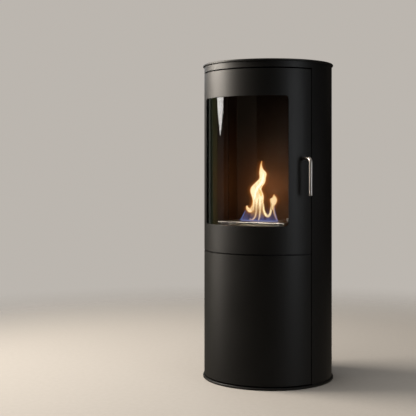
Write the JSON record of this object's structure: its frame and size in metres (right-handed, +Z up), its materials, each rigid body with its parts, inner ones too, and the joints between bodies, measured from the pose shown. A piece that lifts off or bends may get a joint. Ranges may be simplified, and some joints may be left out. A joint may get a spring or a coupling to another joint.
{
  "type": "bioethanol fireplace",
  "caption": "Round free-standing bioethanol fireplace: curved glazed door with a rod handle over a plain curved door, slotted burner with a sliding damper.",
  "frame": {"origin": "centre of the base plate's underside, on the floor, which is the centre of the floor bolt circle", "axes": "+Z up; the doors face -Y; +X is towards the handle's side"},
  "size_m": [0.4554, 0.449, 1.075],
  "materials": {
    "stove_paint": "matte black heat-proof paint on steel",
    "inner_paint": "matte black paint on folded steel",
    "chamber_paint": "dark brown-black heat-proof paint, slightly sooted",
    "zinc": "zinc-plated steel",
    "bush_brass": "turned brass",
    "glass": "clear curved heat-proof glass",
    "gasket": "flat black glass-fibre tape",
    "handle_steel": "brushed stainless rod",
    "rosette_black": "black washer",
    "magnet": "black ferrite in a plastic case",
    "latch_plastic": "black moulded plastic",
    "burner_steel": "brushed stainless sheet",
    "ceramic_wool": "white ceramic-fibre block"
  },
  "bodies": {
    "body": {"base_plate": "stove_paint", "body_shell": "stove_paint", "top_plate": "stove_paint", "hinge_post": "inner_paint", "latch_post": "inner_paint", "middle_deck": "inner_paint", "base_brackets": "inner_paint", "deck_brackets": "inner_paint", "top_brackets": "inner_paint", "hinge_plate": "inner_paint", "chamber_side_left": "chamber_paint", "chamber_side_right": "chamber_paint", "chamber_back_panel": "chamber_paint", "chamber_floor": "chamber_paint", "chamber_roof": "chamber_paint", "floor_brackets": "chamber_paint", "base_screws": "zinc", "deck_screws": "zinc", "top_screws": "zinc", "lower_pivot_pin": "zinc", "middle_pivot_pin": "zinc", "upper_pivot_pin": "zinc", "latch_spring": "zinc", "door_magnet": "magnet", "latch_body": "latch_plastic", "burner_tank": "burner_steel", "burner_cover": "burner_steel", "damper_rails": "burner_steel", "burner_wool": "ceramic_wool"},
    "upper_door": {"upper_door_pan": "stove_paint", "upper_door_bushes": "bush_brass", "glass_gasket": "gasket", "door_glass": "glass", "glass_frame": "inner_paint", "glass_studs": "zinc", "door_handle": "handle_steel", "handle_rosette": "rosette_black", "handle_washer": "zinc", "handle_nut": "zinc"},
    "lower_door": {"lower_door_pan": "stove_paint", "lower_door_bushes": "bush_brass", "door_stiffener": "inner_paint"},
    "damper": {"flame_damper": "burner_steel", "damper_knob": "burner_steel"},
    "push_plunger": {"latch_plunger": "latch_plastic"}
  },
  "joints": [
    {"name": "upper_door_hinge", "type": "hinge", "parent": "body", "child": "upper_door", "pos_m": [-0.18826, -0.09305, 0.742], "axis": [0, 0, -1], "range_deg": [0, 100]},
    {"name": "lower_door_hinge", "type": "hinge", "parent": "body", "child": "lower_door", "pos_m": [-0.18826, -0.09305, 0.2245], "axis": [0, 0, -1], "range_deg": [0, 100]},
    {"name": "damper_slide", "type": "slide", "parent": "body", "child": "damper", "axis": [0, -1, 0], "range_m": [0, 0.0368]},
    {"name": "plunger_press", "type": "slide", "parent": "body", "child": "push_plunger", "axis": [0.3543, 0.9351, 0], "range_m": [0, 0.0025], "stiffness_N_per_m": 600}
  ]
}
